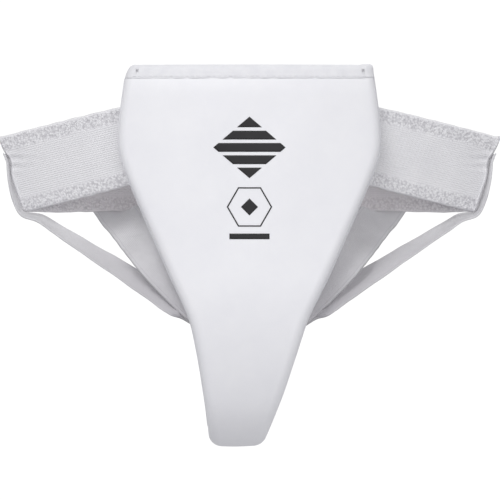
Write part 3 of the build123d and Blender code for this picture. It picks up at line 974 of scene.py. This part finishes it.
def left_band_places():
    """(centre, width vector) from the sewn end behind the shield to the middle of the back."""
    start_depth, start_z = WING_START
    places = []
    depth = BINDING_BACK + 0.15 * MM + BAND_THICKNESS / 2
    tab = WING_START_X - TAB_INNER_X
    for i in range(4):
        x = TAB_INNER_X + tab * i / 4
        z = start_z + (WING_START_X - x) * math.tan(math.radians(WING_SLOPE))
        high = on_layer(-x, TOP_Z - z - 0.03, depth)
        low = on_layer(-x, TOP_Z - z + 0.03, depth)
        places.append(((high + low) / 2, slanted(2.0)))
    for i in range(7):
        t = i / 6
        x = -WING_START_X - (FOLD_X - 1 * MM - WING_START_X) * t
        y = -start_depth + (start_depth + FOLD_Y - FOLD_RADIUS) * t - 2.5 * MM * math.sin(math.pi * t)
        z = start_z + (FOLD_Z - start_z) * t
        slope = 4 + (WING_SLOPE - 4) * min(1.0, t * 3) + (FOLD_SLOPE - WING_SLOPE) * t ** 3
        places.append((Vector((x, y, z)), slanted(slope)))
    for turn in (30, 60, 90, 120, 150):
        x = -FOLD_X - FOLD_RADIUS * math.sin(math.radians(turn))
        y = FOLD_Y - FOLD_RADIUS * math.cos(math.radians(turn))
        places.append((Vector((x, y, FOLD_Z)), slanted(FOLD_SLOPE)))
    steps = 9
    for i in range(steps):
        x = -(FOLD_X - 2 * MM) * (1 - i / (steps - 1))
        t = i / (steps - 1)
        slope = FOLD_SLOPE * max(0.0, 1 - t / 0.28) ** 1.3
        z = FOLD_Z * max(0.0, 1 - t * 2.5)
        places.append((Vector((x, back_band_y(x), z)), slanted(slope)))
    return places


def catmull(values, t):
    """Smooth value at t in 0..len-1 through a list of vectors."""
    i = min(int(t), len(values) - 2)
    f = t - i
    p0 = values[max(i - 1, 0)]
    p1 = values[i]
    p2 = values[i + 1]
    p3 = values[min(i + 2, len(values) - 1)]
    a = p1 * 2
    b = (p2 - p0) * f
    c = (p0 * 2 - p1 * 5 + p2 * 4 - p3) * f ** 2
    d = (p1 * 3 - p0 - p2 * 3 + p3) * f ** 3
    return (a + b + c + d) * 0.5


def smooth_places(places, per_span):
    """Finer list of (centre, width vector, width) through given ones."""
    centres = [p[0] for p in places]
    vectors = [p[1].normalized() * (p[2] if len(p) > 2 else BAND_WIDTH) for p in places]
    result = []
    total = (len(places) - 1) * per_span
    for k in range(total + 1):
        t = k / per_span
        vector = catmull(vectors, t)
        result.append((catmull(centres, t), vector.normalized(), vector.length))
    return result


def ribbon_section(width, thickness, columns):
    """Closed section (across, proud, v) of a flat band with rounded edges."""
    top = []
    for j in range(columns + 1):
        v = width * (j / columns - 0.5)
        edge = min(1.0, (width / 2 - abs(v)) / (thickness * 0.9))
        proud = thickness / 2 * math.sqrt(max(1 - (1 - edge) ** 2, 0.02))
        top.append((v, proud, v))
    bottom = [(v, -proud, w) for v, proud, w in reversed(top[1:-1])]
    return top + bottom


def make_ribbon(name, places, thickness, columns, wave):
    """Elastic band through (centre, width vector, width) places. wave is its edge ripple."""
    shape = Shape()
    rows = []
    travelled = 0.0
    for i, (centre, across, width) in enumerate(places):
        ahead = places[min(i + 1, len(places) - 1)][0] - places[max(i - 1, 0)][0]
        normal = ahead.cross(across).normalized()
        if i:
            travelled += (centre - places[i - 1][0]).length
        row = []
        for v, proud, uv_v in ribbon_section(width, thickness, columns):
            near_edge = (abs(v) / (width / 2)) ** 2
            shift = wave * ripple(travelled, v, 0.045) * (0.35 + 0.65 * near_edge)
            edge_wave = wave * 0.5 * ripple(travelled, 0.0, 0.02) * near_edge * (1 if v > 0 else -1)
            point = centre + across * (v + edge_wave) + normal * (proud + shift)
            row.append((point, (travelled, uv_v)))
        rows.append(row)
    shape.solid(rows)
    return shape.make(name), travelled


def mirrored(vector):
    return Vector((-vector.x, vector.y, vector.z))


def mirror_places(places):
    """The same band on the wearer's other side."""
    return [(mirrored(centre), mirrored(across), width) for centre, across, width in places]


PINCH = 3.4 * MM             # the tack pulls the fold in this far
PINCH_Z = 8.0 * MM
PINCH_REACH = 7.5 * MM
GATHER_PITCH = 6.5 * MM
CREASE_REACH = 9.0 * MM


def gather_fold(band):
    """Pull the side folds in under the straps' tacks, with small creases running out of them."""
    for vertex in band.data.vertices:
        x, y, z = vertex.co
        outside = min(max((abs(x) - 0.150) / 0.027, 0.0), 1.0)
        if y > FOLD_Y + 0.5 * MM:
            outside *= 0.8
        near = math.exp(-((z - PINCH_Z) / PINCH_REACH) ** 2) * outside ** 2
        crease = math.sin(2 * math.pi * (z - PINCH_Z) / GATHER_PITCH)
        crease *= math.exp(-((z - PINCH_Z) / CREASE_REACH) ** 2)
        side = 1 if x > 0 else -1
        vertex.co.x = x - side * PINCH * near
        vertex.co.y = y + 0.9 * MM * crease * outside ** 3


def make_waistband():
    """The whole waist loop as one band, from one sewn tab to the other."""
    left = smooth_places(left_band_places(), 7)
    places = left + mirror_places(left[:-1])[::-1]
    band, length = make_ribbon("waistband_elastic", places, BAND_THICKNESS, 42, 0.00035)
    gather_fold(band)
    band.data.materials.append(WAIST_ELASTIC)
    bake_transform(band)
    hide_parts("waistband", "wing_tab_left", "wing_tab_right")


def leaning(angle, slope):
    """Width vector in the front plane at a slope, turned backward by an angle."""
    slant = math.radians(slope)
    back = math.radians(angle)
    seen = math.cos(back)
    return Vector((math.sin(slant) * seen, math.sin(back), math.cos(slant) * seen))


def anchor(x, z, depth, slope):
    """Strap end flat on the shield's back."""
    s = TOP_Z - z
    tilt = spine(s)[2]
    inward = Vector((0, math.cos(tilt), math.sin(tilt)))
    across = leaning(0, slope)
    return on_layer(x, s, depth), across - inward * across.dot(inward)


REAR_ANCHOR_DEPTH = BINDING_BACK + 2.0 * MM
SIDE_ANCHOR_DEPTH = REAR_ANCHOR_DEPTH + STRAP_THICKNESS + 0.7 * MM
SIDE_ANCHOR = (-30.7 * MM, -109.9 * MM)
SIDE_NEAR = (-40.5 * MM, -103.0 * MM)
REAR_ANCHOR = (-33.0 * MM, -107.0 * MM)
REAR_NEAR = (-45.0 * MM, -95.5 * MM)


def at(x, y, z):
    return Vector((x, y, z)) * MM


# lower edge of the side strap's long run, seen from the front
SIDE_LOW_START = (-169.5 * MM, -31.4 * MM)
SIDE_LOW_END = (-44.0 * MM, -119.3 * MM)
SIDE_RUN_MARKS = (0.075, 0.16, 0.3, 0.45, 0.6, 0.75, 0.87)


def side_run(t):
    """Place on the side strap's straight run. It turns flatter towards the shield."""
    x0, z0 = SIDE_LOW_START
    x1, z1 = SIDE_LOW_END
    length = math.hypot(x1 - x0, z1 - z0)
    across_x = (z0 - z1) / length
    across_z = (x1 - x0) / length
    seen = 5.5 * MM + 14.7 * MM * t
    share = seen / STRAP_WIDTH
    x = x0 + (x1 - x0) * t + across_x * seen / 2
    z = z0 + (z1 - z0) * t + across_z * seen / 2
    centre = Vector((x, (-2.0 - 45.0 * t) * MM, z))
    return centre, Vector((across_x * share, math.sqrt(1 - share ** 2), across_z * share)), STRAP_WIDTH


def side_strap_places():
    """Left side strap: gathered end under its tack, outside of the fold, then to the shield."""
    end, end_across = anchor(*SIDE_ANCHOR, SIDE_ANCHOR_DEPTH, 35)
    near, near_across = anchor(*SIDE_NEAR, SIDE_ANCHOR_DEPTH + 2.2 * MM, 35)
    return [
        (at(-184.3, -4.2, 13.0), Vector((0.2, 1, 0)), 9.0 * MM),
        (at(-182.0, -3.8, 7.0), Vector((0.2, 1, 0)), 10.5 * MM),
        (at(-180.9, -2.5, 1.5), Vector((0.24, 1, 0)), 15.0 * MM),
        (at(-179.0, -0.8, -9.0), Vector((0.24, 1, 0)), 21.0 * MM),
        (at(-175.4, -1.0, -21.8), Vector((0.2, 1, 0.08)), 26.0 * MM),
        (at(-170.2, -3.2, -31.6), Vector((0.11, 0.98, 0.12)), STRAP_WIDTH),
        *[side_run(t) for t in SIDE_RUN_MARKS],
        (near, near_across, STRAP_WIDTH),
        (end, end_across, STRAP_WIDTH),
    ]


def rear_strap_places():
    """Left rear strap: sewn behind the back band, then down to the shield."""
    end, end_across = anchor(*REAR_ANCHOR, REAR_ANCHOR_DEPTH, 44)
    near, near_across = anchor(*REAR_NEAR, REAR_ANCHOR_DEPTH + 2.8 * MM, 42)
    band_back = back_band_y(97.0 * MM) / MM + 1.95
    return [
        (at(-115.0, band_back - 1.1, -9.0), leaning(0, 57), STRAP_WIDTH),
        (at(-107.0, band_back - 0.2, -20.0), leaning(0, 57), STRAP_WIDTH),
        (at(-99.5, band_back - 0.4, -31.0), leaning(2, 56), STRAP_WIDTH),
        (at(-93.0, band_back - 7.5, -38.6), leaning(8, 55), STRAP_WIDTH),
        (at(-86.0, band_back - 20.0, -48.0), leaning(12, 53), STRAP_WIDTH),
        (at(-77.0, -33.5, -59.5), leaning(14, 51), STRAP_WIDTH),
        (at(-65.0, -42.0, -73.5), leaning(8, 47), STRAP_WIDTH),
        (near, near_across, STRAP_WIDTH),
        (end, end_across, STRAP_WIDTH),
    ]


# each strap's points at its shield end, then at its waist end
SIDE_STRETCH = (Vector((-0.075, -0.033, -0.086)), Vector((-0.170, -0.005, -0.034)))
REAR_STRETCH = (Vector((-0.062, -0.044, -0.078)), Vector((-0.097, 0.009, -0.034)))


def make_straps():
    """The four leg straps, the right ones mirrored from the left."""
    for name, places, stretch in (
        ("side_strap", side_strap_places(), SIDE_STRETCH),
        ("rear_strap", rear_strap_places(), REAR_STRETCH),
    ):
        left = smooth_places(places, 8)
        make_strap(name, "left", left, *stretch)
        make_strap(name, "right", mirror_places(left), *[mirrored(mark) for mark in stretch])


def make_strap(name, side, line, start, end):
    """One leg strap between the shield and the waist loop; start and end are not used."""
    strap, length = make_ribbon(name + "_elastic_" + side, line, STRAP_THICKNESS, 18, 0.00022)
    face_outwards(strap)
    strap.data.materials.append(STRAP_ELASTIC)
    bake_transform(strap)
    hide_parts(name + "_" + side)


# ---- stitching
TACK_THREAD = 0.28 * MM


def stitch_row(shape, path, radius, length, gap):
    """Stitches along a path of points: each dips into the cloth at both ends."""
    distances = [0.0]
    for a, b in zip(path, path[1:]):
        distances.append(distances[-1] + (b - a).length)
    total = distances[-1]
    count = max(1, int(total / (length + gap)))
    pitch = total / count
    for k in range(count):
        start = k * pitch + gap / 2
        marks = [start + (pitch - gap) * f for f in (0.0, 0.15, 0.5, 0.85, 1.0)]
        shape.thread([walk(path, distances, m) for m in marks], radius)


def walk(path, distances, mark):
    """Point at a distance along the path."""
    for i in range(len(path) - 1):
        if mark <= distances[i + 1] or i == len(path) - 2:
            f = (mark - distances[i]) / max(distances[i + 1] - distances[i], 1e-9)
            return path[i].lerp(path[i + 1], f)


def bar_tack(shape, centre, along, across, length, width, passes):
    """Dense zigzag of thread, raised a little at the middle of each pass."""
    along = along.normalized()
    across = across.normalized()
    zigzag = []
    for i in range(passes * 2 + 1):
        side = 1 if i % 2 else -1
        zigzag.append(centre + along * (length * (i / (passes * 2) - 0.5)) + across * (side * width / 2))
    lift = along.cross(across) * TACK_THREAD
    path = []
    for a, b in zip(zigzag, zigzag[1:]):
        path += [a, a.lerp(b, 0.5) + lift]
    shape.thread(path + [zigzag[-1]], TACK_THREAD)


def thread_piece(shape, name, body, node):
    piece = shape.make(name)
    finish_piece(piece, THREAD, body, node)


def make_mouth_stitching():
    shape = Shape()
    s = MOUTH_BINDING - 1.7 * MM
    front = section_outline(s, 0.6 * MM)
    path = [place(x, s, d) for x, d in front if abs(x) < half_width(TOP_Z) - 3 * MM]
    stitch_row(shape, path, 0.00024, 0.0029, 0.0011)
    thread_piece(shape, "mouth_stitching_thread", "root", "mouth_stitching")


def make_mouth_tacks():
    shape = Shape()
    s = MOUTH_BINDING / 2
    half = half_width(TOP_Z) - 6.5 * MM
    for x in (-half, half):
        depth = face_roll(s) + cross_sag(x, 0.0) - 0.95 * MM
        centre = place(x, s, depth)
        across = Vector((1, 0.3 * x / half, 0))
        bar_tack(shape, centre, Vector((0, 0, 1)), across, 5 * MM, 1.8 * MM, 9)
    thread_piece(shape, "mouth_tacks_thread", "root", "mouth_tacks")


def make_strap_tacks():
    for side, flip in (("left", -1), ("right", 1)):
        for name, body, add_rows in (
            ("side_strap_tack", "waist_loop", add_side_tack),
            ("rear_strap_tack", "waist_loop", add_rear_tack),
            ("lower_strap_tack", "root", add_lower_tack),
        ):
            shape = Shape()
            add_rows(shape, flip)
            thread_piece(shape, name + "_thread_" + side, body, name + "_" + side)


def add_side_tack(shape, flip):
    """Three rows across the gathered end of a side strap."""
    for lift in (-3.2, 0.0, 3.2):
        centre = at(flip * (184.35 + 0.38 * lift), -4.2, 10.0 + lift)
        bar_tack(shape, centre, Vector((0, 1, 0)), Vector((0, 0, 1)), 9 * MM, 1.3 * MM, 12)


def add_rear_tack(shape, flip):
    """Two rows across a rear strap's end on the back band."""
    y = back_band_y(103 * MM) / MM + 3.05
    for z in (-14.0, -24.0):
        centre = at(flip * (111.0 + (z + 14.0) * 0.65), y, z)
        bar_tack(shape, centre, Vector((1, -flip * 0.09, 0)), Vector((0, 0, 1)), 27 * MM, 1.6 * MM, 26)


def add_lower_tack(shape, flip):
    """Two rows across both straps' ends on the shield's back."""
    centre, across = anchor(*SIDE_ANCHOR, SIDE_ANCHOR_DEPTH + 1.1 * MM, 32)
    if flip > 0:
        centre = mirrored(centre)
        across = mirrored(across)
    along = Vector((-flip, 0.0, -0.62)).normalized()
    for shift in (-4.0, 3.0):
        bar_tack(shape, centre + along * shift * MM, across, along, 25 * MM, 1.6 * MM, 24)


def make_wing_seams():
    depth = BINDING_BACK + 0.15 * MM + BAND_THICKNESS + 0.25 * MM
    for side, flip in (("left", -1), ("right", 1)):
        shape = Shape()
        for x in (76.0, 80.0, 88.0):
            z_middle = WING_START[1] + (WING_START_X - x * MM) * math.tan(math.radians(WING_SLOPE))
            path = []
            for i in range(12):
                z = z_middle + (i / 11 - 0.5) * (BAND_WIDTH - 5 * MM)
                path.append(on_layer(flip * x * MM, TOP_Z - z, depth))
            stitch_row(shape, path, 0.00026, 0.0028, 0.0010)
        thread_piece(shape, "wing_seam_thread_" + side, "root", "wing_seam_" + side)


# ---- printed marks
EMBLEM_Z = 17.5 * MM
EMBLEM_WIDTH = 54.0 * MM
EMBLEM_HEIGHT = 46.0 * MM
EMBLEM_BARS = 5
BAR_GAP = 2.6 * MM
SEAL_Z = -27.0 * MM
SEAL_RADIUS = 17.0 * MM
SEAL_LINE = 1.1 * MM
CAPTION_Z = -49.0 * MM
CAPTION_SIZE = (30.0 * MM, 4.2 * MM)
INK_LIFT = 0.16 * MM


def on_face(x, z):
    """Point just proud of the padded face, seen from the front."""
    s = TOP_Z - z
    return place(x, s, face_roll(s) + cross_sag(x, 0.0) + swell(x, s) - INK_LIFT)


def add_patch(shape, left_at, right_at, low, high, rows=4, columns=24):
    """Printed patch between two side curves of z."""
    grid = []
    for i in range(rows + 1):
        z = low + (high - low) * i / rows
        row = []
        for j in range(columns + 1):
            x = left_at(z) + (right_at(z) - left_at(z)) * j / columns
            row.append((on_face(x, z), (x, z)))
        grid.append(row)
    shape.grid(grid)


def make_emblem():
    """Lozenge cut into horizontal bars."""
    shape = Shape()
    pitch = EMBLEM_HEIGHT / EMBLEM_BARS

    def edge(z):
        return EMBLEM_WIDTH / 2 * (1 - abs(z - EMBLEM_Z) / (EMBLEM_HEIGHT / 2)) + 1e-5

    foot = EMBLEM_Z - EMBLEM_HEIGHT / 2
    for i in range(EMBLEM_BARS):
        low = foot + pitch * i + (BAR_GAP / 2 if i else 0)
        high = foot + pitch * (i + 1) - (BAR_GAP / 2 if i < EMBLEM_BARS - 1 else 0)
        add_patch(shape, lambda z: -edge(z), edge, low, high, rows=6)
    print_piece(shape, "emblem_print_ink", "emblem_print")


def print_piece(shape, name, node):
    piece = shape.make(name)
    face_outwards(piece)
    thicken(piece, 0.00012, offset=0)
    finish_piece(piece, INK, "root", node)


def make_seal():
    """Hexagon outline with a small lozenge in it and a plain bar below."""
    shape = Shape()
    inner = SEAL_RADIUS - SEAL_LINE
    for k in range(6):
        a = math.pi / 3 * k
        b = math.pi / 3 * (k + 1)
        grid = []
        for radius in (inner, SEAL_RADIUS):
            row = []
            for i in range(9):
                f = i / 8
                x = radius * (math.cos(a) * (1 - f) + math.cos(b) * f)
                z = SEAL_Z + radius * (math.sin(a) * (1 - f) + math.sin(b) * f)
                row.append((on_face(x, z), (x, z)))
            grid.append(row)
        shape.grid(grid)
    half = 6.36 * MM

    def edge(z):
        return half - abs(z - SEAL_Z) + 1e-5

    add_patch(shape, lambda z: -edge(z), edge, SEAL_Z - half, SEAL_Z + half, rows=8, columns=6)
    wide, tall = CAPTION_SIZE
    low = CAPTION_Z - tall / 2
    add_patch(shape, lambda z: -wide / 2, lambda z: wide / 2, low, low + tall)
    print_piece(shape, "seal_print_ink", "seal_print")


# ---- label
def make_label():
    shape = Shape()
    low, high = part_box("care_label")
    rows = []
    for i in range(9):
        z = low[2] + (high[2] - low[2]) * i / 8
        row = []
        for j in range(13):
            x = low[0] + (high[0] - low[0]) * j / 12
            curl = 0.0009 * max(0.0, 1 - i / 3) ** 2
            y = back_band_y(x) - BAND_THICKNESS / 2 - 0.55 * MM - curl
            row.append((Vector((x, y, z)), (x, z)))
        rows.append(row)
    shape.grid(rows)
    label = shape.make("care_label_satin")
    thicken(label, 0.0003)
    finish_piece(label, LABEL, "waist_loop", "care_label")


# ---- CAD nodes that stay
def dress_cad_nodes():
    """Materials and softened edges for the CAD's own insert and rim."""
    for name, material in (("impact_insert", INSERT), ("insert_rim", RIM)):
        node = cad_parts[name]
        node.data.materials.clear()
        node.data.materials.append(material)
        bevel = node.modifiers.new("soft_edges", "BEVEL")
        bevel.width = 0.0004
        bevel.segments = 2
        bevel.limit_method = "ANGLE"
        bevel.angle_limit = math.radians(50)


# ---- studio
FLOOR_SIZE = 8.0
FLOOR_DROP = 0.75


def stage_material():
    n = Nodes("studio_floor")
    tone = n.noise(n.coords(), 3.0, 2.0, 0.5)
    colour = n.tint(tone, (0.56, 0.56, 0.57), (0.59, 0.59, 0.60))
    return n.surface(colour, n.spread(tone, 0.3, 0.7, 0.85, 0.95), specular=0.1)


def make_stage():
    """Pale level floor."""
    floor_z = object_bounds()[0][2] - FLOOR_DROP
    marks = [FLOOR_SIZE * (i / 4 - 0.5) for i in range(5)]
    rows = [[(Vector((x, y, floor_z)), (x, y)) for x in marks] for y in marks]
    shape = Shape()
    shape.grid(rows)
    floor = shape.make("studio_floor")
    floor.data.materials.append(stage_material())


def area_light(name, energy, size, location, target):
    data = bpy.data.lights.new(name, "AREA")
    data.energy = energy
    data.shape = "DISK"
    data.size = size
    light = bpy.data.objects.new(name, data)
    light.location = location
    light.rotation_euler = (Vector(target) - Vector(location)).to_track_quat("-Z", "Y").to_euler()
    bpy.context.scene.collection.objects.link(light)


KEY_WATTS = 25.0
FILL_WATTS = 8.0
BACK_WATTS = 24.0
SKY_DOWN = (0.18, 0.18, 0.185, 1.0)
SKY_HORIZON = (1.06, 1.06, 1.06, 1.0)
SKY_UP = (0.60, 0.60, 0.61, 1.0)
SKY_STOPS = (
    (0.0, SKY_DOWN),
    (0.455, SKY_DOWN),
    (0.48, SKY_HORIZON),
    (0.52, SKY_HORIZON),
    (0.56, SKY_UP),
    (1.0, SKY_UP),
)
CAMERA_DISTANCE = 9.0
VIEW_WIDTH = 0.375
CAMERA_PLACE = (0.0004, -CAMERA_DISTANCE - 0.05, -0.0592)


def make_sky():
    """Soft white sky: dim below, a narrow bright horizon, moderate above."""
    world = bpy.data.worlds.new("studio")
    bpy.context.scene.world = world
    world.use_nodes = True
    tree = world.node_tree
    background = tree.nodes["Background"]
    background.inputs["Strength"].default_value = 1.0
    coordinates = tree.nodes.new("ShaderNodeTexCoord")
    axes = tree.nodes.new("ShaderNodeSeparateXYZ")
    tree.links.new(coordinates.outputs["Generated"], axes.inputs[0])
    height = tree.nodes.new("ShaderNodeMapRange")
    height.inputs["From Min"].default_value = -1.0
    height.inputs["From Max"].default_value = 1.0
    tree.links.new(axes.outputs["Z"], height.inputs["Value"])
    ramp = tree.nodes.new("ShaderNodeValToRGB")
    stops = ramp.color_ramp.elements
    while len(stops) < len(SKY_STOPS):
        stops.new(0.5)
    for stop, (position, colour) in zip(stops, SKY_STOPS):
        stop.position = position
        stop.color = colour
    tree.links.new(height.outputs["Result"], ramp.inputs["Fac"])
    tree.links.new(ramp.outputs["Color"], background.inputs["Color"])


def make_lights():
    make_sky()
    area_light("key", KEY_WATTS, 1.3, (-0.7, -2.0, 1.6), (0, 0, -0.02))
    area_light("fill", FILL_WATTS, 1.6, (0.9, -2.4, -0.1), (0, 0, -0.05))
    area_light("back_soft", BACK_WATTS, 1.6, (0.6, 2.2, 1.5), (0, 0, -0.05))


def make_camera():
    """Long lens, level with the middle of the object."""
    data = bpy.data.cameras.new("camera")
    data.sensor_width = 36.0
    data.lens = data.sensor_width * CAMERA_DISTANCE / VIEW_WIDTH
    data.clip_end = 50.0
    camera = bpy.data.objects.new("camera", data)
    camera.location = CAMERA_PLACE
    camera.rotation_euler = (math.pi / 2, 0, 0)
    bpy.context.scene.collection.objects.link(camera)
    bpy.context.scene.camera = camera


# ---- make everything
bpy.context.scene.view_settings.view_transform = "Standard"
make_camera()
make_cover()
make_inner_layers()
make_rear_lining()
make_rear_binding()
make_front_mouth_binding()
make_rear_mouth_binding()
make_waistband()
make_straps()
make_mouth_stitching()
make_mouth_tacks()
make_strap_tacks()
make_wing_seams()
make_emblem()
make_seal()
make_label()
dress_cad_nodes()
make_stage()
make_lights()
